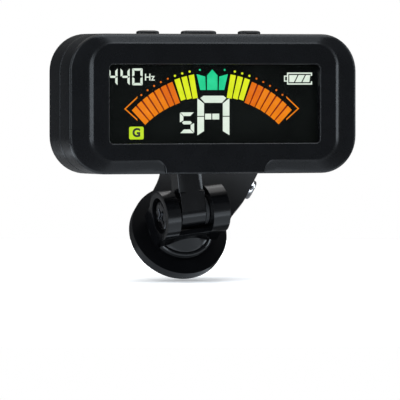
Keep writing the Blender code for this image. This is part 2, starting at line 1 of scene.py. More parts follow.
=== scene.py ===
"""Clip-on tuner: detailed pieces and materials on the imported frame, in a plain pale studio.

Outlines are in millimetres in the frame of the piece they belong to. The neck's and the clip's frames
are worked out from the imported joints, and the head's from the front cover's box.
"""

import json
from math import asin, atan2, cos, degrees, pi, radians, sin, tan

import bmesh
import bpy
from mathutils import Matrix, Vector


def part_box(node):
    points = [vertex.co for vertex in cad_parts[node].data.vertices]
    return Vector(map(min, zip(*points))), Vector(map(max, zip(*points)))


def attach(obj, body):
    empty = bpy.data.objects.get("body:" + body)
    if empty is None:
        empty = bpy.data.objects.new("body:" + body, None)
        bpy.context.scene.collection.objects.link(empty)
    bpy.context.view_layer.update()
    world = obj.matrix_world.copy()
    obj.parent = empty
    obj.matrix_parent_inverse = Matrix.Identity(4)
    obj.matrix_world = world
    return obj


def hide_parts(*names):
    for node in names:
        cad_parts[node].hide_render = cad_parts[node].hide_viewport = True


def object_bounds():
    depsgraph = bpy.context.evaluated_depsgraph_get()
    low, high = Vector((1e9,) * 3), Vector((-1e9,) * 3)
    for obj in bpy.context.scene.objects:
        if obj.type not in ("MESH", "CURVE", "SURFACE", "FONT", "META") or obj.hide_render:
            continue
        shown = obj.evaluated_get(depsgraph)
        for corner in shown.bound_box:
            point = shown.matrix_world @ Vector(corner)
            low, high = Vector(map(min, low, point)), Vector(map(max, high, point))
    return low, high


MM = 0.001

# ---- head: depths are behind the front cover's rim, heights above its lower edge ----
HEAD_WIDTH, HEAD_HEIGHT, HEAD_CORNER = 56.0, 25.3, 6.8
HEAD_MIDDLE = HEAD_HEIGHT / 2
PANEL_HALF, PANEL_LOW, PANEL_HIGH, PANEL_CORNER = 23.4, 2.6, 23.4, 3.8
PANEL_PROUD = 0.8
TONGUE_HALF, TONGUE_FLARE, TONGUE_FOOT = 9.5, 2.5, 0.3
FRONT_DEPTH, REAR_START, REAR_FACE = 4.6, 4.9, 11.3
REAR_ROUND, WALL = 1.4, 1.4
WINDOW_HALF, WINDOW_TALL = 20.5, 7.1
LCD_FACE = 1.45
BUTTON_Y, BUTTON_PITCH, BUTTON_DEPTH, BUTTON_PROUD = 7.6, 9.95, 2.6, 0.65
BUTTONS = {"left": (-BUTTON_PITCH, 4.3), "middle": (0.0, 6.8), "right": (BUTTON_PITCH, 4.3)}
TONGUE_STEP = 0.16
POST_X, POST_LOW, POST_HIGH, POST_RADIUS = 24.5, 4.3, 21.0, 2.2
SCREWS = [(side * POST_X, z) for z in (POST_LOW, POST_HIGH) for side in (-1, 1)]
SCREW_HOLE, SCREW_SINK, SCREW_SEAT = 1.05, 2.0, 1.6
SPINDLE_HOLE, SPINDLE_UP = 2.5, 9.0
PORT_Y, PORT_HALF, PORT_HEIGHT = 6.9, 4.5, 3.5
PANE_FRONT, PANE_BACK, PANE_MARGIN = 0.45, 1.25, 1.1

# ---- neck ----
TILT_BEHIND_RIM = 15.2
ARM_LENGTH, ARM_WIDTH, ARM_DEPTH = 16.6, 4.8, 3.4
HINGE_RISE, EAR_RADIUS, EAR_NECK = 7.3, 4.5, 3.4
EAR_GAP, EAR_LEFT, EAR_RIGHT = 6.5, 2.6, 3.3
FOOT_RADIUS = 6.3
ARM_EYE_RADIUS = 2.9
TILT_HOLE, HINGE_HOLE, SCREW_CLEAR = 1.15, 1.3, 1.1

# ---- clip ----
DISC_RADIUS, DISC_DEPTH = 9.1, 2.2
PAD_RADIUS, PAD_DEPTH, PAD_GAP = 7.5, 1.6, 0.3
REAR_RADIUS, REAR_SHIFT = 7.0, 2.0
CLIP_HALF, CLIP_NECK, CLIP_LENGTH = 8.4, 7.6, 35.0
PIVOT_ALONG, PIVOT_BEHIND, PIVOT_RADIUS = 20.5, 8.5, 1.25
LUG_RADIUS, LUG_WALL, JAW_DEPTH = 3.0, 1.6, 2.0
LEVER_ANGLE, LEVER_REACH = 21.0, 12.0
GAP = 0.3

# ---- camera ----
VIEW_AZIMUTH, VIEW_ELEVATION = -22.0, 1.3
VIEW_DISTANCE = 1.0
VIEW_SPAN = 0.07233            # width seen at the head, in metres
HEAD_RIGHT, HEAD_UP = 2.57, 17.4   # the head's place in the picture, from its middle, in millimetres

# ---- studio ----
FLOOR_RADIUS, FLOOR_GAP = 0.25, 0.0004
FLOOR_DIM = 0.16                   # how pale the floor is where the object mirrors it
ROOM_LIGHT = 0.10
WHITE, COOL = (1.0, 1.0, 1.0), (0.82, 0.91, 1.0)
PAPER_GLOW = 0.25                  # keeps the floor's far edge from showing against the sky

# name, azimuth, elevation, distance, width, height, watts, colour
SOFTBOXES = (
    ("overhead", 8, 86, 0.6, 1.0, 0.9, 6.0, WHITE),
    ("front_top", 32, 50, 0.7, 0.5, 0.18, 2.2, COOL),
    ("front_fill", 24, 10, 0.6, 0.5, 0.4, 0.09, COOL),
    ("left_strip", -25, 10, 0.6, 0.12, 0.5, 1.8, COOL),
    ("left_edge", -82, 12, 0.6, 0.30, 0.5, 2.6, COOL),
    ("right_strip", 71, 10, 0.6, 0.16, 0.5, 1.7, COOL),
    ("back_wash", 180, 48, 0.6, 0.9, 0.25, 0.8, WHITE),
)
# name, x, y, width and depth in millimetres, glow
CARDS = (
    ("front_card", 8, -46, 120, 32, 2.2),
    ("low_card", -4, -25, 90, 24, 1.1),
    ("under_card", -10, 2, 36, 22, 0.9),
    ("left_card", -75, -20, 50, 110, 5.0),
)

# ---- shading ----
EDGE_STEPS = 3
LIT_STRENGTH = 1.0
NOISE_LOW, NOISE_HIGH = 0.3, 0.7   # the part of a noise's range that its colours spread over
FLAT_WEIGHT = 60                   # how far large faces win over small ones in the normals
SMOOTH_BELOW = 60.0                # the front cover is smooth across edges under this angle

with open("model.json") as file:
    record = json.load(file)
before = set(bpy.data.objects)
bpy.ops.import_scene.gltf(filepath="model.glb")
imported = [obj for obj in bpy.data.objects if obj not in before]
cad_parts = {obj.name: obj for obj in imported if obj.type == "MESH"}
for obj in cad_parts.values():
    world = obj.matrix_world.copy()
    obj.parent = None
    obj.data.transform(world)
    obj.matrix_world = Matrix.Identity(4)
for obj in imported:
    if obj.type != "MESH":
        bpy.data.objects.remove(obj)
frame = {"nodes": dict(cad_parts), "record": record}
cad_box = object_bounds()


# ---- frames ----
def matrix(origin, x_axis, y_axis, z_axis):
    """The frame at origin with the given axes."""
    made = Matrix((x_axis, y_axis, z_axis)).transposed().to_4x4()
    made.translation = origin
    return made


def key_frames():
    """Each body's frame for its outlines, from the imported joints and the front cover."""
    joints = {joint["name"]: joint for joint in frame["record"]["behaviour"]["joints"]}

    def place(name):
        return Vector(joints[name]["pos_m"])

    def axis(name):
        return Vector(joints[name]["axis"]).normalized()

    low, high = (Vector(corner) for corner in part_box("front_shell"))
    head = Vector(((low.x + high.x) / 2, low.y + PANEL_PROUD * MM, low.z))
    across = axis("arm_hinge")
    into = -axis("turntable")
    clip_across = axis("jaw_hinge")
    arm_up = (place("head_tilt") - place("arm_hinge")).normalized()
    identity = Matrix.Identity(3)
    clip = matrix(place("turntable"), clip_across, into, clip_across.cross(into))
    rear = clip.copy()
    rear.translation = place("jaw_hinge")
    return {
        "head": matrix(head, *identity),
        "knuckle": matrix(place("head_tilt"), *identity),
        "arm": matrix(place("arm_hinge"), across, arm_up.cross(across), arm_up),
        "yoke": matrix(place("turntable"), across, into, across.cross(into)),
        "front_jaw": clip,
        "rear_jaw": rear,
    }


FRAMES = key_frames()
NECK_ROLL = atan2(FRAMES["arm"].col[0].z, FRAMES["arm"].col[0].x)


# ---- outlines: lists of (u, v) points, counter-clockwise ----
def arc(u, v, radius, start, end, steps):
    """Points along an arc about (u, v), from start to end degrees."""
    angles = [radians(start + (end - start) * i / steps) for i in range(steps + 1)]
    return [(u + radius * cos(a), v + radius * sin(a)) for a in angles]


def circle(u, v, radius, sides):
    return arc(u, v, radius, 0, 360, sides)[:-1]


def rectangle(u0, v0, u1, v1):
    return [(u0, v0), (u1, v0), (u1, v1), (u0, v1)]


def rounded(half, low, high, radius, steps=10, bottom=()):
    """A rounded rectangle about u = 0. bottom adds points along its lower edge."""
    reach = half - radius
    points = arc(reach, high - radius, radius, 0, 90, steps)
    points += arc(-reach, high - radius, radius, 90, 180, steps)
    points += arc(-reach, low + radius, radius, 180, 270, steps)
    points += [(u, low) for u in bottom]
    return points + arc(reach, low + radius, radius, 270, 360, steps)


def stadium(u, v, width, height, steps=10):
    """A slot shape with round ends, about (u, v)."""
    radius = height / 2
    reach = width / 2 - radius
    return arc(u + reach, v, radius, -90, 90, steps) + arc(u - reach, v, radius, 90, 270, steps)


def head_outline(inset=0.0, bottom=(), steps=12):
    """The head seen from the front, drawn in by inset."""
    half = HEAD_WIDTH / 2 - inset
    return rounded(half, inset, HEAD_HEIGHT - inset, HEAD_CORNER - inset, steps, bottom)


# ---- meshes ----
PLACES = {
    "X": lambda u, v, h: (h, u, v),
    "Y": lambda u, v, h: (u, h, v),
    "Z": lambda u, v, h: (u, v, h),
}


def ring_of(bm, axis, outline, height):
    place = PLACES[axis]
    return [bm.verts.new(place(u, v, height)) for u, v in outline]


def skin(bm, rings, closed=False):
    """Quads between rings with equal point counts."""
    following = rings[1:] + rings[:1] if closed else rings[1:]
    for low, high in zip(rings, following):
        count = len(low)
        for i in range(count):
            j = (i + 1) % count
            bm.faces.new((low[i], low[j], high[j], high[i]))


def fill_between(bm, *rings):
    """A flat face bounded by an outer ring and any inner ones."""
    edges = []
    for ring in rings:
        for a, b in zip(ring, ring[1:] + ring[:1]):
            edges.append(bm.edges.get((a, b)) or bm.edges.new((a, b)))
    bmesh.ops.triangle_fill(bm, use_beauty=True, use_dissolve=False, edges=edges)


def loft(axis, sections):
    """A closed body through (outline, height) sections along an axis."""
    bm = bmesh.new()
    rings = [ring_of(bm, axis, outline, height) for outline, height in sections]
    skin(bm, rings)
    bm.faces.new(list(reversed(rings[0])))
    bm.faces.new(rings[-1])
    return bm


def prism(axis, outline, low, high):
    return loft(axis, [(outline, low), (outline, high)])


def turned(axis, profile, sides=48, centre=(0.0, 0.0)):
    """A closed body from (radius, height) points along an axis."""
    u, v = centre
    return loft(axis, [(circle(u, v, radius, sides), height) for radius, height in profile])


def cylinder(axis, radius, low, high, sides=48, centre=(0.0, 0.0)):
    return turned(axis, [(radius, low), (radius, high)], sides, centre)


def tube(axis, outer, inner, low, high, sides=48):
    bm = bmesh.new()
    corners = ((outer, low), (outer, high), (inner, high), (inner, low))
    skin(bm, [ring_of(bm, axis, circle(0, 0, r, sides), h) for r, h in corners], closed=True)
    return bm


def linked(name, data):
    made = bpy.data.objects.new(name, data)
    bpy.context.scene.collection.objects.link(made)
    return made


def mesh_of(bm, name, place=None):
    if place:
        bm.transform(place)
    bmesh.ops.recalc_face_normals(bm, faces=bm.faces)
    mesh = bpy.data.meshes.new(name)
    bm.to_mesh(mesh)
    bm.free()
    return mesh


def carve(bm, *steps):
    """bm after Boolean steps (operation, tool), with flat faces merged again."""
    body = linked("carved", mesh_of(bm, "carved"))
    tools = []
    for operation, tool in steps:
        cutter = linked("tool", mesh_of(tool, "tool"))
        step = body.modifiers.new("step", "BOOLEAN")
        step.operation = operation
        step.object = cutter
        tools.append(cutter)
    graph = bpy.context.evaluated_depsgraph_get()
    result = bmesh.new()
    result.from_object(body, graph)
    for made in [body] + tools:
        bpy.data.objects.remove(made)
    bmesh.ops.remove_doubles(result, verts=result.verts, dist=0.002)
    bmesh.ops.dissolve_limit(
        result, angle_limit=radians(1.0), verts=result.verts, edges=result.edges
    )
    return result


def cut(tool):
    return ("DIFFERENCE", tool)


def join(tool):
    return ("UNION", tool)


# ---- pieces ----
def add(name, data, body, look, stands_for=()):
    """An object that rides on a body and stands for the named CAD nodes."""
    made = linked(name, data)
    data.materials.append(look)
    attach(made, body)
    if stands_for:
        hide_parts(*stands_for)
    return made


def placed(bm, name, place):
    mesh = mesh_of(bm, name, Matrix.Scale(MM, 4))
    mesh.transform(FRAMES[place])
    mesh.shade_smooth()
    return mesh


def piece(name, bm, body, look, stands_for=(), edge=0.12, angle=32.0, place=None):
    """A mesh piece with rounded edges and even shading, in its body's frame or another."""
    mesh = placed(bm, name, place or body)
    made = add(name, mesh, body, LOOKS[look], stands_for)
    if edge:
        soften(made, edge, angle)
    return made


def shade_evenly(made):
    even = made.modifiers.new("shading", "WEIGHTED_NORMAL")
    even.keep_sharp = True
    even.weight = FLAT_WEIGHT


def soften(made, edge, angle=32.0):
    """Rounded edges. Faces with holes are split, so that they hold in any pose."""
    bevel = made.modifiers.new("edges", "BEVEL")
    bevel.width = edge * MM
    bevel.segments = EDGE_STEPS
    bevel.limit_method = "ANGLE"
    bevel.angle_limit = radians(angle)
    bevel.miter_outer = "MITER_ARC"
    split = made.modifiers.new("split", "TRIANGULATE")
    split.min_vertices = 5
    shade_evenly(made)


# ---- materials ----
class Look:
    """A Principled material with helpers for its procedural nodes."""

    def __init__(self, name, **values):
        self.made = bpy.data.materials.new(name)
        self.made.use_nodes = True
        self.tree = self.made.node_tree
        self.shader = self.tree.nodes["Principled BSDF"]
        self.fill(self.shader, values)
        self.coords = self.tree.nodes.new("ShaderNodeTexCoord").outputs["Object"]

    def fill(self, node, values):
        for socket, value in values.items():
            node.inputs[socket.replace("_", " ")].default_value = value

    def node(self, kind, socket, source, **values):
        """A node with a source linked to one of its sockets."""
        made = self.tree.nodes.new("ShaderNode" + kind)
        self.fill(made, values)
        self.tree.links.new(source, made.inputs[socket])
        return made

    def noise(self, size, detail=3.0, stretch=(1, 1, 1)):
        """Noise whose features are about size millimetres across."""
        scale = [s / (size * MM) for s in stretch]
        place = self.node("Mapping", "Vector", self.coords, Scale=scale).outputs["Vector"]
        return self.node("TexNoise", "Vector", place, Scale=1.0, Detail=detail).outputs["Fac"]

    def ramp(self, fac, low, high):
        """A colour between low and high."""
        node = self.node("ValToRGB", "Fac", fac)
        ends = node.color_ramp.elements
        ends[0].position, ends[1].position = NOISE_LOW, NOISE_HIGH
        ends[0].color, ends[1].color = (*low, 1), (*high, 1)
        return node.outputs["Color"]

    def spread(self, fac, low, high):
        """A number between low and high."""
        node = self.node("MapRange", "Value", fac, From_Min=NOISE_LOW, From_Max=NOISE_HIGH,
                         To_Min=low, To_Max=high)
        return node.outputs["Result"]

    def link(self, output, socket):
        self.tree.links.new(output, self.shader.inputs[socket])

    def bump(self, fac, height):
        """Relief of the given height in millimetres."""
        node = self.node("Bump", "Height", fac, Strength=1.0, Distance=height * MM)
        self.link(node.outputs["Normal"], "Normal")


def plastic(name, color, roughness, grain=0.16, depth=0.004, **values):
    """Moulded plastic: fine spark-eroded grain, and a slightly cloudy colour and gloss."""
    look = Look(name, **values)
    cloud = look.noise(6.0)
    dark = [c * 0.86 for c in color]
    light = [c * 1.18 for c in color]
    look.link(look.ramp(cloud, dark, light), "Base Color")
    look.link(look.spread(look.noise(3.1, 5.0), roughness - 0.02, roughness + 0.03), "Roughness")
    look.bump(look.noise(grain, 2.0), depth)
    return look.made


def metal(name, color, roughness, scratch=0.25, depth=0.002, stretch=(1, 1, 12)):
    """Bare or plated metal with fine scratches along Z."""
    look = Look(name, Metallic=1.0)
    cloud = look.noise(2.5, 4.0)
    look.link(look.ramp(cloud, [c * 0.85 for c in color], color), "Base Color")
    streak = look.noise(scratch, 4.0, stretch)
    look.link(look.spread(streak, roughness * 0.75, roughness * 1.35), "Roughness")
    look.bump(streak, depth)
    return look.made


def lit(name, low, high):
    """A lit display segment, slightly uneven like a backlit liquid crystal; also used for the painted
    glow between the meter's bars.
    """
    look = Look(name, Roughness=0.4, Emission_Strength=LIT_STRENGTH, Specular_IOR_Level=0.05,
                Base_Color=(0.004, 0.004, 0.004, 1))
    look.link(look.ramp(look.noise(1.6), low, high), "Emission Color")
    return look.made


def window_look():
    look = Look("clear_window", Alpha=0.06, Roughness=0.06, Specular_IOR_Level=0.15,
                Base_Color=(0.01, 0.01, 0.01, 1))
    look.link(look.spread(look.noise(9.0), 0.04, 0.09), "Roughness")
    return look.made


def lcd_look():
    look = Look("dark_liquid_crystal", Roughness=0.25, Emission_Strength=1.0, Specular_IOR_Level=0.05)
    cloud = look.noise(7.0, 2.0)
    look.link(look.ramp(cloud, (0.0022, 0.0028, 0.0024), (0.0042, 0.0050, 0.0044)), "Base Color")
    look.link(look.ramp(cloud, (0.0003, 0.0004, 0.0003), (0.0008, 0.0010, 0.0008)), "Emission Color")
    return look.made


LOOKS = {
    "shell": plastic("shell_satin", (0.0020, 0.0022, 0.0027), 0.27, Specular_IOR_Level=0.22),
    "black": plastic("neck_gloss", (0.0020, 0.0021, 0.0025), 0.18, 0.22, Specular_IOR_Level=0.30),
    "clip": plastic("clip_satin", (0.0018, 0.0019, 0.0023), 0.32, 0.22, Specular_IOR_Level=0.09),
    "button": plastic("button_satin", (0.0035, 0.0037, 0.0040), 0.36, 0.12, Specular_IOR_Level=0.2),
    "dark": plastic("dark_moulding", (0.02, 0.02, 0.021), 0.5),
    "white": plastic("white_moulding", (0.72, 0.73, 0.70), 0.5, depth=0.002),
    "board": plastic("green_laminate", (0.02, 0.11, 0.05), 0.35, grain=0.5, depth=0.006),
    "foil": metal("cell_foil", (0.62, 0.63, 0.66), 0.3, 0.8, 0.01, (1, 1, 3)),
    "brass": metal("sensor_brass_disc", (0.72, 0.52, 0.22), 0.3, 0.4, 0.002, (1, 1, 6)),
    "steel": metal("plated_steel", (0.56, 0.57, 0.60), 0.3),
    "dark_steel": metal("blackened_steel", (0.05, 0.05, 0.055), 0.35),
    "chrome": metal("bright_plating", (0.78, 0.79, 0.82), 0.12, 0.5, 0.0008),
    "bolt": metal("dark_plating", (0.06, 0.062, 0.068), 0.14, 0.5, 0.0008),
    "rubber": plastic("soft_rubber", (0.014, 0.014, 0.014), 0.72, grain=0.3, depth=0.01),
    "window": window_look(),
    "lcd": lcd_look(),
}

LIT = {
    "orange": lit("lit_orange", (0.88, 0.21, 0.001), (1.0, 0.27, 0.003)),
    "deep": lit("lit_deep_orange", (0.80, 0.15, 0.001), (0.90, 0.19, 0.002)),
    # painted glow: dim orange that stands in for light spilling from the lit bars into the gaps
    # between them
    "painted_bar_glow": lit("lit_painted_bar_glow", (0.20, 0.012, 0.0), (0.28, 0.020, 0.0)),
    "yellow": lit("lit_yellow", (0.76, 0.90, 0.01), (0.90, 1.0, 0.02)),
    "green": lit("lit_green", (0.01, 0.64, 0.27), (0.03, 0.78, 0.36)),
    "white": lit("lit_white", (0.78, 0.92, 0.78), (0.90, 1.0, 0.88)),
    "lime": lit("lit_lime", (0.55, 0.80, 0.02), (0.66, 0.90, 0.03)),
}


# ---- head ----
SIDE_SLOPE = (
    (0.0, -0.80), (0.03, -0.785), (0.07, -0.74), (0.16, -0.54), (0.21, -0.46), (0.28, -0.40),
    (0.86, -0.12), (0.92, -0.06), (0.97, 0.04), (1.0, 0.28),
)
LONG_SLOPE = (
    (0.0, -0.80), (0.03, -0.79), (0.07, -0.765), (0.16, -0.69), (0.86, -0.19), (0.92, -0.12),
    (0.97, 0.0), (1.0, 0.28),
)


def slope_depth(t, upright=1.0):
    """The front cover's face from the panel's edge (t = 0) to the rim (t = 1).

    upright is 1 along the long edges, which slope evenly, and 0 at the ends, which step first.
    """
    depths = []
    for profile in (LONG_SLOPE, SIDE_SLOPE):
        depth = profile[-1][1]
        for (t0, y0), (t1, y1) in zip(profile, profile[1:]):
            if t <= t1:
                depth = y0 + (y1 - y0) * (t - t0) / (t1 - t0)
                break
        depths.append(depth)
    return depths[0] * upright + depths[1] * (1 - upright)


SHARES = (0.0, 0.03, 0.07, 0.16, 0.21, 0.28, 0.45, 0.65, 0.86, 0.92, 0.97, 1.0)


def slope_column(inner, outer, upright):
    """Points (x, z, y) from the panel's edge out to the rim."""
    column = []
    for t in SHARES:
        x = inner[0] + (outer[0] - inner[0]) * t
        z = inner[1] + (outer[1] - inner[1]) * t
        column.append((x, z, slope_depth(t, upright)))
    return column


def tongue_column(edge, k, outer):
    """Points (x, z, y) from the tongue's edge, down its small step and out to the rim."""
    def depth(z):
        return slope_depth((PANEL_LOW - z) / PANEL_LOW)

    x, z = edge[k]
    before, after = edge[max(k - 1, 0)], edge[min(k + 1, len(edge) - 1)]
    along = Vector((after[0] - before[0], after[1] - before[1])).normalized()
    out = Vector((along.y, -along.x)) * TONGUE_STEP
    foot = Vector((x, z)) + out
    column = [(x, z, -PANEL_PROUD)]
    for share, drop in ((0.3, 0.03), (0.65, 0.3)):
        y = -PANEL_PROUD + (depth(foot.y) + PANEL_PROUD) * drop
        column.append((x + out.x * share, z + out.y * share, y))
    slope = len(SHARES) - len(column)
    for n in range(slope):
        point = foot.lerp(Vector(outer), n / (slope - 1))
        column.append((*point, depth(point.y)))
    return column


def front_cover():
    """The cover's face: flat panel and tongue, a small step round them and a slope to the rim."""
    flare = arc(TONGUE_HALF + TONGUE_FLARE, TONGUE_FOOT, TONGUE_FLARE, 180, 90, 12)
    flare = [(x, min(z, PANEL_LOW)) for x, z in flare]
    edge = [(-x, z) for x, z in reversed(flare)] + [(0.0, TONGUE_FOOT)] + flare
    bottom = [x for x, _ in edge]
    steps = 14
    panel = rounded(PANEL_HALF, PANEL_LOW, PANEL_HIGH, PANEL_CORNER, steps, bottom)
    rim = head_outline(0.0, bottom, steps)
    start = 3 * (steps + 1)

    bm = bmesh.new()
    columns = []
    for i, (inner, outer) in enumerate(zip(panel, rim)):
        k = i - start
        if 0 <= k < len(edge):
            columns.append(tongue_column(edge, k, outer))
            continue
        corner = i % (steps + 1) if i < start else (k - len(edge)) % (steps + 1)
        turn = radians(90 * corner / steps)
        quarter = min(i // (steps + 1), 3)
        upright = abs(sin(turn)) if quarter % 2 == 0 else abs(cos(turn))
        columns.append(slope_column(inner, outer, upright))
    rings = []
    for n in range(len(SHARES)):
        rings.append([bm.verts.new((c[n][0], c[n][2], c[n][1])) for c in columns])
    for outline, y in (
        (rim, FRONT_DEPTH - 0.15), (head_outline(0.05, bottom, steps), FRONT_DEPTH - 0.05),
        (head_outline(0.15, bottom, steps), FRONT_DEPTH),
        (head_outline(WALL, bottom, steps), FRONT_DEPTH), (head_outline(WALL, bottom, steps), 1.5),
    ):
        rings.append(ring_of(bm, "Y", outline, y))
    skin(bm, rings)

    def opening(grow, radius):
        return rounded(WINDOW_HALF + grow, HEAD_MIDDLE - WINDOW_TALL - grow,
                       HEAD_MIDDLE + WINDOW_TALL + grow, radius, 6)

    mouth = []
    for grow, drop in ((0.26, 0.0), (0.10, 0.05), (0.02, 0.16), (0.0, 0.3), (0.0, 1.15)):
        mouth.append(ring_of(bm, "Y", opening(grow, 0.7 + grow), drop - PANEL_PROUD))
    mouth.append(ring_of(bm, "Y", opening(1.3, 0.7), 0.35))
    mouth.append(ring_of(bm, "Y", opening(1.3, 0.7), 1.5))
    skin(bm, mouth)
    fill_between(bm, rings[0], mouth[0])
    fill_between(bm, rings[-1], mouth[-1])
    cover = piece("front_cover", bm, "head", "shell", ["front_shell"], edge=0)
    shade_evenly(cover)
    cover.data.set_sharp_from_angle(angle=radians(SMOOTH_BELOW))


def rear_cover():
    """The back half, with a lip that closes the parting groove."""
    lip = 0.55
    sections = [
        (head_outline(WALL), FRONT_DEPTH - 0.2), (head_outline(lip), FRONT_DEPTH + 0.03),
        (head_outline(lip), REAR_START), (head_outline(0.15), REAR_START),
        (head_outline(0.05), REAR_START + 0.05), (head_outline(), REAR_START + 0.15),
    ]
    for i in range(9):
        angle = radians(90 * i / 8)
        inset = REAR_ROUND * (1 - cos(angle))
        sections.append((head_outline(inset), REAR_FACE - REAR_ROUND * (1 - sin(angle))))
    floor = REAR_FACE - WALL
    steps = [cut(prism("Y", head_outline(WALL), FRONT_DEPTH - 1, floor))]
    for x, z in SCREWS:
        steps.append(join(cylinder("Y", POST_RADIUS, 5.0, floor + 0.5, 32, (x, z))))
        hole = [(SCREW_HOLE, 4.0), (SCREW_HOLE, REAR_FACE - SCREW_SEAT),
                (SCREW_SINK, REAR_FACE - SCREW_SEAT), (SCREW_SINK, REAR_FACE + 1)]
        steps.append(cut(turned("Y", hole, 32, (x, z))))
    steps.append(cut(cylinder("Y", SPINDLE_HOLE, floor - 1, REAR_FACE + 1, 48, (0, SPINDLE_UP))))
    for x, width in BUTTONS.values():
        slot = stadium(x, BUTTON_Y, width + 0.4, BUTTON_DEPTH + 0.4)
        steps.append(cut(prism("Z", slot, HEAD_HEIGHT - WALL - 1, HEAD_HEIGHT + 1)))
    port = port_outline(PORT_HEIGHT)
    steps.append(cut(prism("X", port, HEAD_WIDTH / 2 - WALL - 1, HEAD_WIDTH / 2 + 1)))
    bm = carve(loft("Y", sections), *steps)
    piece("rear_cover", bm, "head", "shell", ["rear_shell"], angle=40)


def port_outline(height, width=2 * PORT_HALF):
    """The charging port's slot shape in the head's right end."""
    shape = stadium(PORT_Y, HEAD_MIDDLE, height, height)
    reach = width / 2 - height / 2
    return [(y, z + reach * (1 if z > HEAD_MIDDLE else -1)) for y, z in shape]


def charging_socket():
    """Steel shell, moulded tongue and two rows of contacts."""
    edge = HEAD_WIDTH / 2
    hollow = prism("X", port_outline(2.55, 8.3), edge - 6.5, edge + 1)
    shell = carve(prism("X", port_outline(3.1, 8.8), edge - 7.5, edge - 0.3), cut(hollow))
    piece("socket_shell", shell, "head", "steel", ["usb_socket"], 0.08)
    blade = rectangle(PORT_Y - 0.35, HEAD_MIDDLE - 3.3, PORT_Y + 0.35, HEAD_MIDDLE + 3.3)
    tongue = prism("X", blade, edge - 6.6, edge - 1.2)
    piece("socket_tongue", tongue, "head", "dark")
    contacts = bmesh.new()
    count, pitch = 12, 0.5
    for n in range(count):
        z = HEAD_MIDDLE + (n - (count - 1) / 2) * pitch
        for side in (-1, 1):
            strip = Matrix.Translation((edge - 3.2, PORT_Y + side * 0.37, z))
            strip = strip @ Matrix.Diagonal((3.2, 0.05, 0.26, 1))
            bmesh.ops.create_cube(contacts, size=1.0, matrix=strip)
    piece("socket_contacts", contacts, "head", "brass", (), 0)


def cover_screws():
    """Small pan heads with a cross recess, down their counterbores."""
    for n, (x, z) in enumerate(SCREWS, 1):
        top = REAR_FACE - 0.25
        profile = [(0.7, 1.8), (0.7, top - 1.05), (1.75, top - 1.05), (1.75, top - 0.35),
                   (1.55, top - 0.1), (1.1, top)]
        steps = []
        taper = 0.45
        for w, h in ((0.95, 0.19), (0.19, 0.95)):
            mouth = rectangle(x - w, z - h, x + w, z + h)
            tip = [(x + (u - x) * taper, z + (v - z) * taper) for u, v in mouth]
            steps.append(cut(loft("Y", [(tip, top - 0.7), (mouth, top + 0.2)])))
        head = carve(turned("Y", profile, 32, (x, z)), *steps)
        piece(f"cover_screw_{n}", head, "head", "dark_steel", [f"shell_screw_{n}"], 0.04)


def push_buttons():
    """Caps with a flange inside the cover and a domed top."""
    for name, (x, width) in BUTTONS.items():
        top = HEAD_HEIGHT + BUTTON_PROUD
        under = HEAD_HEIGHT - WALL

        def cap(inset, x=x, width=width):
            return stadium(x, BUTTON_Y, width - 2 * inset, BUTTON_DEPTH - 2 * inset)

        sections = [(cap(-0.5), under - 0.9), (cap(-0.5), under - 0.25), (cap(0), under - 0.25)]
        for inset, drop in ((0, 0.4), (0.04, 0.26), (0.14, 0.16), (0.34, 0.08), (0.7, 0.02),
                            (1.05, 0.0)):
            sections.append((cap(inset), top - drop))
        body = f"button_{name}"
        piece(f"cap_{name}", loft("Z", sections), body, "button", [body], 0.06, 60, "head")


# ---- display ----
def flat_shapes(shapes, thickness=0.04):
    """Thin plates just in front of the panel, from convex (x, z) outlines about its middle."""
    bm = bmesh.new()
    for shape in shapes:
        outline = [(x, z + HEAD_MIDDLE) for x, z in shape]
        front = ring_of(bm, "Y", outline, LCD_FACE - thickness)
        back = ring_of(bm, "Y", outline, LCD_FACE - 0.004)
        skin(bm, [front, back])
        bm.faces.new(front)
        bm.faces.new(list(reversed(back)))
    return bm


def show(name, shapes, color):
    """A lit part of the display."""
    add(name, placed(flat_shapes(shapes), name, "head"), "head", LIT[color])


def digit(left, low, width, height, stroke, lit_parts):
    """Seven-segment strokes: a top, b and c right, d bottom, e and f left, g middle."""
    gap = stroke * 0.12
    right, high, middle = left + width, low + height, low + height / 2
    s, h = stroke, stroke / 2
    parts = {
        "a": [(left + gap, high), (right - gap, high), (right - s - gap, high - s),
              (left + s + gap, high - s)],
        "d": [(left + s + gap, low + s), (right - s - gap, low + s), (right - gap, low),
              (left + gap, low)],
        "g": [(left + h + gap, middle), (left + s + gap, middle + h * 0.9),
              (right - s - gap, middle + h * 0.9), (right - h - gap, middle),
              (right - s - gap, middle - h * 0.9), (left + s + gap, middle - h * 0.9)],
    }
    for upper, lower, x, inward in (("f", "e", left, s), ("b", "c", right, -s)):
        parts[upper] = [(x, high - gap), (x + inward, high - s - gap),
                        (x + inward, middle + h + gap), (x, middle + gap)]
        parts[lower] = [(x, middle - gap), (x + inward, middle - h - gap),
                        (x + inward, low + s + gap), (x, low + gap)]
    return [parts[key] for key in lit_parts]


def polar(radius, turn):
    """A point about the meter's centre, turned in degrees from straight up."""
    angle = radians(turn)
    return (METER_X + radius * sin(angle), METER_Z + radius * cos(angle))


METER_X, METER_Z = 0.2, -16.5
BAR_OUTER, BAR_INNER, BAR_FIRST, BAR_PITCH, BAR_WIDTH = 21.9, 17.85, 22.2, 3.66, 2.75
BAR_FLARE, BAR_RISE = 1.12, 0.06
YELLOW_OUTER, YELLOW_INNER, YELLOW_FIRST, YELLOW_PITCH, YELLOW_RISE = 22.1, 17.8, 10.7, 3.72, 0.15
# where the painted glow between the bars lies
GLOW_OUTER, GLOW_INNER, GLOW_HALF = 21.8, 18.2, 0.4
DOT_RADIUS, DOT_FIRST, DOT_PITCH, DOT_MIDDLE = 22.75, 11.2, 3.73, 6.1
BRACKET_TIP, BRACKET_END, BRACKET_STROKE = 17.1, 14.6, 0.24


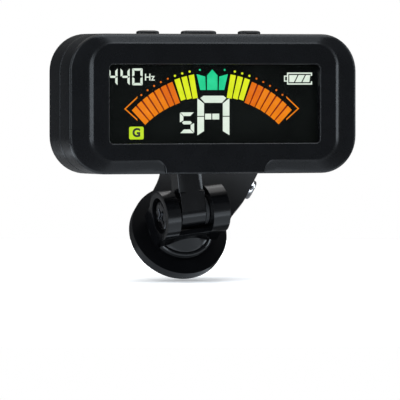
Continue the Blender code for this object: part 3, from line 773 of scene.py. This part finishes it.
def polar_bar(middle, outer, inner, half, flare=1.0):
    """A bar of the meter, flare times as wide in degrees at its inner end."""
    wide = half * flare
    return [polar(outer, middle - half), polar(outer, middle + half),
            polar(inner, middle + wide), polar(inner, middle - wide)]


def meter_bars():
    half = BAR_WIDTH / 2
    bars = {"deep": [], "orange": [], "yellow": [], "painted_bar_glow": []}
    for side in (-1, 1):
        for n in range(3):
            middle = side * (YELLOW_FIRST + n * YELLOW_PITCH)
            inner = YELLOW_INNER + YELLOW_RISE * n
            bars["yellow"].append(polar_bar(middle, YELLOW_OUTER, inner, half, BAR_FLARE))
        for n in range(7):
            middle = side * (BAR_FIRST + n * BAR_PITCH)
            kind = "deep" if n < 2 else "orange"
            inner = BAR_INNER + BAR_RISE * n
            bars[kind].append(polar_bar(middle, BAR_OUTER, inner, half, BAR_FLARE))
        # painted glow in each gap between two bars, standing in for their spilled light; no segment of
        # the display lies there
        for n in range(6):
            middle = side * (BAR_FIRST + (n + 0.5) * BAR_PITCH)
            bars["painted_bar_glow"].append(polar_bar(middle, GLOW_OUTER, GLOW_INNER, GLOW_HALF))
    return bars


def meter_dots():
    dots = {"orange": [], "yellow": [], "green": []}
    for side in (-1, 1):
        for n in range(8):
            x, z = polar(DOT_RADIUS, side * (DOT_FIRST + n * DOT_PITCH))
            kind, size = ("yellow", 0.21) if n < 3 else ("orange", 0.18)
            dots[kind].append(circle(x, z, size, 16))
        x, z = polar(DOT_RADIUS, side * DOT_MIDDLE)
        dots["green"].append(circle(x, z, 0.18, 16))
    return dots


def meter_crown():
    """The in-tune mark: a pointed middle between two wings."""
    low, high = 2.49, 5.13
    centre = [(-1.02, low), (1.02, low), (1.02, high), (0.0, 6.2), (-1.02, high)]
    wing = [(1.28, low), (2.33, low), (3.05, 5.36), (1.36, 4.92)]
    green = [centre, wing, [(-x, z) for x, z in wing]]
    return [[(METER_X + x, z) for x, z in shape] for shape in green]


def meter_brackets():
    """Open arrow heads at the meter's ends."""
    brackets = []
    for side in (-1, 1):
        a = Vector((METER_X + side * BRACKET_TIP, -0.9))
        for z in (1.3, -3.0):
            b = Vector((METER_X + side * BRACKET_END, z))
            along = (b - a).normalized()
            shift = Vector((-side * BRACKET_STROKE * 1.35, 0.0))
            back = Vector((0, -BRACKET_STROKE * 1.2 if b.y > a.y else BRACKET_STROKE * 1.2))
            brackets.append([tuple(a), tuple(b + along * 0.1), tuple(b + back), tuple(a + shift)])
    return brackets


def meter():
    bars, dots = meter_bars(), meter_dots()
    show("meter_orange", bars["orange"] + meter_brackets(), "orange")
    show("meter_deep_orange", bars["deep"], "deep")
    show("meter_yellow", bars["yellow"], "yellow")
    show("meter_green", meter_crown(), "green")
    show("dots_orange", dots["orange"], "deep")
    show("dots_yellow", dots["yellow"], "yellow")
    show("dots_green", dots["green"], "green")
    # the gaps between the bars, lit with painted glow
    show("meter_painted_glow", bars["painted_bar_glow"], "painted_bar_glow")


def letter(text, size, x, z, name, look, bold=0.0):
    """A plain generic letter from Blender's own font, as a thin plate."""
    curve = bpy.data.curves.new(name, "FONT")
    curve.body = text
    curve.size = size
    curve.offset = bold
    curve.extrude = 0.015
    curve.align_x, curve.align_y = "CENTER", "CENTER"
    temp = linked(name, curve)
    graph = bpy.context.evaluated_depsgraph_get()
    mesh = bpy.data.meshes.new_from_object(temp.evaluated_get(graph))
    bpy.data.objects.remove(temp)
    upright = Matrix.Translation((x, LCD_FACE - 0.05, z + HEAD_MIDDLE))
    upright = upright @ Matrix.Rotation(pi / 2, 4, "X")
    mesh.transform(FRAMES["head"] @ Matrix.Scale(MM, 4) @ upright)
    mesh.name = name
    mesh.materials.clear()
    return add(name, mesh, "head", look)


def readings():
    """Generic readings: a pitch, a string number, a note, a mode and the cell's charge."""
    tall, low, stroke = 3.05, 3.35, 0.42
    figures = []
    for left, width, parts in ((-19.95, 1.75, "fgbc"), (-17.6, 1.75, "fgbc"), (-15.35, 2.0, "abcdef")):
        figures += digit(left, low, width, tall, stroke, parts)
    show("pitch_figures", figures, "white")
    letter("Hz", 1.75, -12.0, 4.75, "pitch_unit", LIT["white"], 0.02)

    foot = -5.7
    note = [
        [(-2.1, 1.05), (-1.5, 1.45), (2.35, 1.45), (2.95, 1.05), (2.1, 0.17), (-1.25, 0.17)],
        [(3.55, 1.0), (2.27, 0.05), (2.27, -2.2), (3.55, -2.2)],
        [(3.55, -2.36), (2.27, -2.36), (2.27, foot + 0.75), (3.55, foot)],
        [(-2.7, -2.36), (-1.42, -2.36), (-1.42, foot + 0.75), (-2.7, foot)],
        [(-2.7, 1.0), (-1.42, 0.05), (-1.42, -2.2), (-2.7, -2.2)],
        rectangle(-1.2, -2.84, 0.0, -1.8), rectangle(0.22, -2.84, 1.55, -1.8),
    ]
    show("note_letter", note, "white")
    show("string_figure", digit(-6.1, -5.3, 2.75, 3.75, 0.66, "afgcd"), "white")

    left, right, z0, z1 = 14.9, 19.85, 3.45, 5.65
    line, jamb, knob, knob_line = 0.24, 0.6, 0.6, 0.2
    cell = [
        rectangle(left, z0, right, z0 + line), rectangle(left, z1 - line, right, z1),
        rectangle(left, z0, left + line, z1), rectangle(right - line, z0, right, z0 + jamb),
        rectangle(right - line, z1 - jamb, right, z1),
        rectangle(left - knob, 4.0, left - knob + knob_line, 5.1),
        rectangle(left - knob, 4.0, left, 4.0 + knob_line),
        rectangle(left - knob, 5.1 - knob_line, left, 5.1),
        [(15.35, 3.9), (16.25, 3.9), (16.95, 5.2), (15.35, 5.2)],
        [(16.5, 3.9), (17.7, 3.9), (18.4, 5.2), (17.2, 5.2)],
        [(17.95, 3.9), (19.3, 3.9), (19.5, 5.2), (18.65, 5.2)],
    ]
    show("cell_gauge", cell, "white")

    middle = -14.55
    badge = [(middle + x, z) for x, z in rounded(1.4, -6.4, -4.1, 0.3, 4)]
    show("mode_badge", [badge], "lime")
    letter("G", 2.1, middle, -5.25, "mode_letter", LOOKS["dark"], 0.09)


def window():
    """The clear pane behind the opening."""
    half, tall = WINDOW_HALF + PANE_MARGIN, WINDOW_TALL + PANE_MARGIN
    pane = rounded(half, HEAD_MIDDLE - tall, HEAD_MIDDLE + tall, 0.6, 6)
    bm = prism("Y", pane, PANE_FRONT, PANE_BACK)
    piece("clear_window", bm, "head", "window", ["display_window"], 0.06)


# ---- neck ----
def swivel_joint():
    """Spindle, thrust flange and the tongue that the tilt pin goes through."""
    face = REAR_FACE - TILT_BEHIND_RIM
    floor = face - WALL
    profile = [(2.2, floor - 0.3), (2.2, face + 0.3), (4.05, face + 0.3), (4.2, face + 0.45),
               (4.2, face + 0.95), (4.05, face + 1.1)]
    tongue = [(face + 0.8, -2.1), (0.0, -2.1)] + arc(0, 0, 2.1, -80, 80, 20)
    tongue += [(0.0, 2.1), (face + 0.8, 2.1)]
    turn = Matrix.Rotation(-NECK_ROLL, 4, "Y")
    blade = prism("X", tongue, -0.9, 0.9)
    blade.transform(turn)
    eye = cylinder("X", TILT_HOLE, -3, 3, 32)
    eye.transform(turn)
    bore = cylinder("Y", SCREW_CLEAR, floor - 1, face + 0.1, 24)
    bm = carve(turned("Y", profile, 64), join(blade), cut(eye), cut(bore))
    piece("swivel_spindle", bm, "knuckle", "black", ["swivel_knuckle"])


def neck_arm():
    """Link with wide chamfers down its front and a fork at its head end."""
    half = ARM_DEPTH / 2
    top, fork = ARM_LENGTH, 2.4
    side = arc(0, 0, ARM_EYE_RADIUS, 165, 405, 40)
    side += [(half, 3.2), (half, top - 3.2)]
    side += arc(0, top, fork, -20, 200, 30)
    side += [(-half - 0.3, top - 3.2), (-half - 0.8, 5.0)]
    wide = ARM_WIDTH / 2
    chamfer, cut_back = 1.35, 0.72
    rail = ((4.2, -half - 0.86), (5.0, -half - 0.8), (top - 3.2, -half - 0.3),
            (top - 2.2, -half - 0.25))
    steps = []
    for sign in (-1, 1):
        wedge = bmesh.new()
        rings = []
        for z, y in rail:
            corners = [(sign * (wide - chamfer), y - 0.001), (sign * (wide + 0.2), y + cut_back),
                       (sign * (wide + 0.2), y - 2.0), (sign * (wide - chamfer), y - 2.0)]
            rings.append([wedge.verts.new((u, v, z)) for u, v in corners])
        skin(wedge, rings)
        wedge.faces.new(list(reversed(rings[0])))
        wedge.faces.new(rings[-1])
        steps.append(cut(wedge))
    steps.append(cut(prism("X", rectangle(-5.0, top - 3.4, 5.0, top + 5), -1.2, 1.2)))
    steps.append(cut(cylinder("X", HINGE_HOLE, -4, 4, 32)))
    steps.append(cut(cylinder("X", TILT_HOLE, -4, 4, 32, (0, top))))
    bm = carve(prism("X", side, -wide, wide), *steps)
    piece("neck_arm", bm, "arm", "black", ["arm"], 0.34)


def turntable():
    """Foot with a domed hub, two round ears and their seats for the screw and nut."""
    half = (EAR_GAP + EAR_LEFT + EAR_RIGHT) / 2
    left, right = -half, half
    gap_left, gap_right = left + EAR_LEFT, right - EAR_RIGHT
    hinge = -HINGE_RISE
    foot = FOOT_RADIUS
    profile = [(foot, -0.25), (foot, -0.75), (foot - 0.05, -0.93), (foot - 0.18, -1.13),
               (foot - 0.38, -1.31), (foot - 0.66, -1.42), (foot - 0.85, -1.36), (foot - 1.0, -1.34),
               (foot - 1.5, -1.75), (foot - 2.2, -2.55), (foot - 2.9, -3.2), (foot - 3.8, -3.55)]
    ear = [(-0.8, EAR_NECK)] + arc(hinge, 0, EAR_RADIUS, 50, 310, 56) + [(-0.8, -EAR_NECK)]
    clear = ARM_EYE_RADIUS + 0.7
    gap = [(hinge + 2.2, 6)] + arc(hinge, 0, clear, 52, -90, 28)
    gap += [(hinge, -6), (hinge - 8, -6), (hinge - 8, 6)]
    steps = [
        join(prism("X", ear, left, right)),
        cut(prism("X", gap, gap_left, gap_right)),
        cut(cylinder("X", HINGE_HOLE, -9, 9, 32, (hinge, 0))),
        cut(cylinder("X", 3.3, left - 1, left + 1.3, 48, (hinge, 0))),
        cut(prism("X", circle(hinge, 0, 2.75, 6), right - 1.7, right + 1)),
        join(cylinder("Y", 2.9, -0.6, 0.95, 48)),
        cut(cylinder("Y", SCREW_CLEAR, -0.75, 2, 24)),
    ]
    bm = carve(turned("Y", list(reversed(profile)), 96), *steps)
    piece("hinge_yoke", bm, "yoke", "black", ["yoke"], 0.22, angle=38)

    head = left + 0.35
    profile = [(2.35, head), (2.6, head + 0.08), (2.7, head + 0.25), (2.7, left + 1.18),
               (1.05, left + 1.18), (1.05, right - 0.3)]
    recess = []
    for u, v in ((1.45, 0.28), (0.28, 1.45)):
        slot = rectangle(hinge - u, -v, hinge + u, v)
        recess.append(cut(prism("X", slot, head - 1, head + 0.45)))
    bm = carve(turned("X", profile, 48, (hinge, 0)), *recess)
    piece("hinge_bolt", bm, "yoke", "bolt", ["hinge_screw"], 0.14)


# ---- clip ----
def front_plate():
    """The clip's disc, plate and lugs, and the pad under the disc."""
    neck, wide = CLIP_NECK, CLIP_HALF
    start = degrees(asin(neck / DISC_RADIUS))
    tip = 5.0
    outline = arc(0, 0, DISC_RADIUS, 90 + start, 450 - start, 72)
    outline += [(neck, 8.0), (neck + 0.08, 9.2), (neck + 0.3, 10.3), (wide - 0.2, 11.9), (wide, 13.2)]
    outline += arc(wide - tip, CLIP_LENGTH - tip, tip, 0, 90, 14)
    outline += arc(-wide + tip, CLIP_LENGTH - tip, tip, 90, 180, 14)
    outline += [(-wide, 13.2), (-wide + 0.2, 11.9), (-neck - 0.3, 10.3), (-neck - 0.08, 9.2),
                (-neck, 8.0)]
    steps = []
    lug = arc(PIVOT_BEHIND, PIVOT_ALONG, LUG_RADIUS, -60, 60, 20)
    lug += [(1.0, PIVOT_ALONG + 7), (1.0, PIVOT_ALONG - 7)]
    for low in (-wide, wide - LUG_WALL):
        steps.append(join(prism("X", lug, low + 0.02, low + LUG_WALL - 0.02)))
    pivot = (PIVOT_BEHIND, PIVOT_ALONG)
    steps.append(cut(cylinder("X", PIVOT_RADIUS + 0.2, -12, 12, 32, pivot)))
    bearing = [(3.2, -1), (3.2, 1.1), (5.0, 1.1), (5.0, DISC_DEPTH + 1)]
    steps.append(cut(turned("Y", bearing, 48)))
    for n in range(5):
        along = CLIP_LENGTH - 3.2 - 1.9 * n
        rib = stadium(0, along, 9.0, 0.7, 6)
        steps.append(cut(prism("Y", rib, -1.0, 0.25)))
    bm = carve(prism("Y", outline, 0.0, DISC_DEPTH), *steps)
    piece("clip_plate", bm, "front_jaw", "clip", ["front_jaw"], 0.22)

    low = DISC_DEPTH + GAP / 2
    profile = [(PAD_RADIUS - 0.1, low), (PAD_RADIUS, low + 0.1), (PAD_RADIUS, low + PAD_DEPTH - 0.5),
               (PAD_RADIUS - 0.1, low + PAD_DEPTH - 0.2), (PAD_RADIUS - 0.35, low + PAD_DEPTH)]
    steps = [cut(cylinder("Y", 2.6, 0, low + 0.8, 32))]
    for r in (2.8, 4.6, 6.3):
        groove = tube("Y", r + 0.25, r - 0.25, low + PAD_DEPTH - 0.25, low + PAD_DEPTH + 0.5)
        steps.append(cut(groove))
    bm = carve(turned("Y", profile, 80), *steps)
    piece("grip_pad_front", bm, "front_jaw", "rubber", ["front_pad"], 0.06)


def rear_plate():
    """Arched jaw and finger lever with grip grooves, and the pad inside the jaw."""
    pad_face = DISC_DEPTH + GAP / 2 + PAD_DEPTH + PAD_GAP
    inner = pad_face + PAD_DEPTH + GAP / 2 - PIVOT_BEHIND
    centre = REAR_SHIFT - PIVOT_ALONG
    near, far = centre - REAR_RADIUS, -PIVOT_ALONG + 8.0
    depth = JAW_DEPTH
    clear = LUG_RADIUS + 0.9
    lever = radians(LEVER_ANGLE)
    tip = (clear + LEVER_REACH * tan(lever), LEVER_REACH)
    slope = (sin(lever), cos(lever))
    inside = [(inner, near), (inner, far), (inner + 1.2, far + 1.7), (clear - 0.6, -4.6)]
    inside += [(clear, -2.6), (clear, 0.0), tip]
    outside = [(tip[0] + depth * slope[1], tip[1] - depth * slope[0]), (clear + depth, -0.6)]
    outside += [(clear + depth, -3.4), (clear - 0.4 + depth, -5.6)]
    outside += [(inner + 1.0 + depth, far + 0.5), (inner + depth, far - 1.4), (inner + depth, near)]
    half = CLIP_HALF - 1.2
    plan = arc(0, centre, REAR_RADIUS, 180, 360, 48) + [(half, centre + 4.0)]
    plan += arc(half - 4.0, LEVER_REACH - 3.6, 4.0, 0, 90, 12)
    plan += arc(4.0 - half, LEVER_REACH - 3.6, 4.0, 90, 180, 12) + [(-half, centre + 4.0)]
    steps = [("INTERSECT", prism("Y", plan, -15, 25))]
    lug = arc(0, 0, LUG_RADIUS, 120, 240, 24) + [(clear + 0.8, -3.2), (clear + 0.8, 3.2)]
    lug_inner = CLIP_HALF - LUG_WALL - GAP
    for low in (-lug_inner, lug_inner - LUG_WALL):
        steps.append(join(prism("X", lug, low, low + LUG_WALL)))
    for low in (-half - 1, lug_inner):
        lane = [(LUG_RADIUS + 0.3, -4), (LUG_RADIUS + 0.3, 4), (-5, 4), (-5, -4)]
        steps.append(cut(prism("X", lane, low, low + 2.0)))
    steps.append(cut(cylinder("X", PIVOT_RADIUS + 0.15, -12, 12, 32)))
    for n in range(4):
        along = LEVER_REACH - 2.6 - 1.9 * n
        groove = prism("X", rectangle(-0.25, -0.35, 1.2, 0.35), -4.5, 4.5)
        out = clear + depth / cos(lever) + along * tan(lever)
        groove.transform(Matrix.Translation((0, out, along)) @ Matrix.Rotation(-lever, 4, "X"))
        steps.append(cut(groove))
    bm = carve(prism("X", inside + outside, -half, half), *steps)
    piece("lever_jaw", bm, "rear_jaw", "clip", ["rear_jaw"], 0.2)

    low = pad_face - PIVOT_BEHIND
    side = REAR_RADIUS - 0.4
    outline = arc(0, centre, side, 180, 360, 48)
    outline += [(side, far - 1.4), (side - 1.0, far - 0.4), (1.0 - side, far - 0.4)]
    outline += [(-side, far - 1.4)]
    steps = []
    for n in range(5):
        along = centre - 4.6 + 2.4 * n
        rib = rectangle(-9, along - 0.25, 9, along + 0.25)
        steps.append(cut(prism("Y", rib, low - 0.5, low + 0.25)))
    bm = carve(prism("Y", outline, low, low + PAD_DEPTH), *steps)
    piece("grip_pad_rear", bm, "rear_jaw", "rubber", ["rear_pad"], 0.08)


def pivot_and_spring():
    """The pin through the lugs, and a spring coil with a leg on each jaw."""
    wide = CLIP_HALF
    head = [(0.9, -wide - 1.1), (1.4, -wide - 1.06), (1.75, -wide - 0.9), (1.9, -wide - 0.65),
            (1.9, -wide - 0.15)]
    profile = head + [(PIVOT_RADIUS, -wide - 0.15), (PIVOT_RADIUS, wide + 0.15)]
    profile += [(radius, -height) for radius, height in reversed(head)]
    bm = turned("X", profile, 40, (PIVOT_BEHIND, PIVOT_ALONG))
    piece("pivot_rivet", bm, "front_jaw", "chrome", ["pivot_pin"], 0.04)

    turns, wire, coil, width = 5.5, 0.42, 2.05, 5.4

    def rod(name, route, body, stands_for=()):
        curve = bpy.data.curves.new(name, "CURVE")
        curve.dimensions = "3D"
        curve.bevel_depth = wire * MM
        curve.bevel_resolution = 4
        curve.use_fill_caps = True
        line = curve.splines.new("POLY")
        line.points.add(len(route) - 1)
        for point, place in zip(line.points, route):
            point.co = (*(FRAMES["front_jaw"] @ (place * MM)), 1.0)
            point.radius = 1.0
        add(name, curve, body, LOOKS["steel"], stands_for)

    def on_coil(share):
        angle = radians(180.0 - 360.0 * turns * share)
        return Vector((-width / 2 + width * share, PIVOT_BEHIND + coil * cos(angle),
                       PIVOT_ALONG - coil * sin(angle)))

    count = int(turns * 28)
    winding = [Vector((-width / 2, DISC_DEPTH + wire + 0.15, PIVOT_ALONG + 9.0))]
    winding += [on_coil(i / count) for i in range(count + 1)]
    rod("spring_winding", winding, "front_jaw", ["clip_spring"])
    lever = PIVOT_BEHIND + LUG_RADIUS + 0.9 + 8.0 * tan(radians(LEVER_ANGLE))
    leg = [on_coil(1.0), Vector((width / 2, lever - wire - 0.3, PIVOT_ALONG + 8.0))]
    rod("spring_leg", leg, "rear_jaw")


# ---- carried-over solids ----
CARRIED = {
    "lcd_panel": "lcd", "backlight": "white", "circuit_board": "board", "battery": "foil",
    "piezo_sensor": "brass", "tact_switch_left": "dark", "tact_switch_middle": "dark",
    "tact_switch_right": "dark", "swivel_washer": "steel", "swivel_screw": "steel",
    "tilt_pin": "steel", "hinge_nut": "steel", "friction_washer_left": "dark",
    "friction_washer_right": "dark", "turntable_washer": "steel", "turntable_screw": "steel",
}


def finish_carried():
    """Materials and rounded edges for the CAD nodes that stay."""
    for name, look in CARRIED.items():
        node = frame["nodes"][name]
        for slot in node.material_slots:
            slot.material = LOOKS[look]
        soften(node, 0.06)


# ---- studio ----
def by_ray(tree, mirrored, seen):
    """A shader that is seen to the camera, and mirrored to every other ray."""
    path = tree.nodes.new("ShaderNodeLightPath")
    mix = tree.nodes.new("ShaderNodeMixShader")
    tree.links.new(path.outputs["Is Camera Ray"], mix.inputs["Fac"])
    tree.links.new(mirrored, mix.inputs[1])
    tree.links.new(seen, mix.inputs[2])
    return mix.outputs["Shader"]


def paper_look():
    """White paper to the camera, and a dimmer one in what the object mirrors."""
    look = Look("pale_paper", Roughness=0.9, Specular_IOR_Level=0.1,
                Emission_Strength=PAPER_GLOW, Emission_Color=(1, 1, 1, 1))
    look.link(look.ramp(look.noise(60.0), (0.92, 0.92, 0.92), (0.95, 0.95, 0.95)), "Base Color")
    mirrored = look.tree.nodes.new("ShaderNodeBsdfDiffuse")
    mirrored.inputs["Color"].default_value = (FLOOR_DIM, FLOOR_DIM, FLOOR_DIM, 1)
    shader = by_ray(look.tree, mirrored.outputs["BSDF"], look.shader.outputs["BSDF"])
    look.tree.links.new(shader, look.tree.nodes["Material Output"].inputs["Surface"])
    return look.made


def camera():
    """The camera in front and to the left. Returns the point that it looks at."""
    azimuth, elevation = radians(VIEW_AZIMUTH), radians(VIEW_ELEVATION)
    back = Vector((sin(azimuth) * cos(elevation), -cos(azimuth) * cos(elevation), sin(elevation)))
    right = Vector((cos(azimuth), sin(azimuth), 0.0))
    up = back.cross(right)
    middle = FRAMES["head"] @ Vector((0.0, 0.0, HEAD_MIDDLE * MM))
    target = middle - right * HEAD_RIGHT * MM - up * HEAD_UP * MM
    data = bpy.data.cameras.new("camera")
    data.sensor_width = 36.0
    data.lens = 36.0 * VIEW_DISTANCE / VIEW_SPAN
    data.clip_start, data.clip_end = 0.01, 20.0
    made = linked("camera", data)
    made.matrix_world = matrix(target + back * VIEW_DISTANCE, right, up, back)
    bpy.context.scene.camera = made
    return target


def area_light(name, width, height, power, color):
    """A rectangular light that the camera doesn't see."""
    data = bpy.data.lights.new(name, "AREA")
    data.shape = "RECTANGLE"
    data.size, data.size_y = width, height
    data.energy = power
    data.color = color
    made = linked(name, data)
    made.visible_camera = False
    return made


def softbox(name, target, azimuth, elevation, distance, width, height, power, color):
    """A light that faces the target. Azimuth 0 is in front of the display and 90 on its right."""
    a, e = radians(azimuth), radians(elevation)
    away = Vector((sin(a) * cos(e), -cos(a) * cos(e), sin(e)))
    made = area_light(name, width, height, power, color)
    made.location = target + away * distance
    made.rotation_euler = away.to_track_quat("Z", "Y").to_euler()


def card(name, x, y, width, depth, glow):
    """A glowing card that lies on the floor, for the undersides to mirror. Millimetres."""
    power = glow * pi * width * depth * MM * MM
    made = area_light(name, width * MM, depth * MM, power, COOL)
    made.location = (x * MM, y * MM, cad_box[0][2] - FLOOR_GAP / 2)
    made.rotation_euler = (pi, 0.0, 0.0)


def studio(target):
    """A round pale floor under a white sky, with soft lights above and beside."""
    floor_z = cad_box[0][2] - FLOOR_GAP
    bm = bmesh.new()
    middle = (cad_box[0][0] + cad_box[1][0]) / 2
    ring = [bm.verts.new((middle + u, v, floor_z)) for u, v in circle(0, 0, FLOOR_RADIUS, 128)]
    bm.faces.new(ring)
    floor = linked("floor", mesh_of(bm, "floor"))
    floor.data.materials.append(paper_look())

    world = bpy.data.worlds.new("room")
    world.use_nodes = True
    tree = world.node_tree
    room = tree.nodes["Background"]
    room.inputs["Color"].default_value = (0.92, 0.96, 1.0, 1)
    room.inputs["Strength"].default_value = ROOM_LIGHT
    sky = tree.nodes.new("ShaderNodeBackground")
    sky.inputs["Color"].default_value = (1, 1, 1, 1)
    shader = by_ray(tree, room.outputs["Background"], sky.outputs["Background"])
    tree.links.new(shader, tree.nodes["World Output"].inputs["Surface"])
    bpy.context.scene.world = world

    for name, *place in SOFTBOXES:
        softbox(name, target, *place)
    for values in CARDS:
        card(*values)
    bpy.context.scene.view_settings.view_transform = "Standard"


aim = camera()
studio(aim)
front_cover()
rear_cover()
charging_socket()
cover_screws()
push_buttons()
window()
meter()
readings()
swivel_joint()
neck_arm()
turntable()
front_plate()
rear_plate()
pivot_and_spring()
finish_carried()
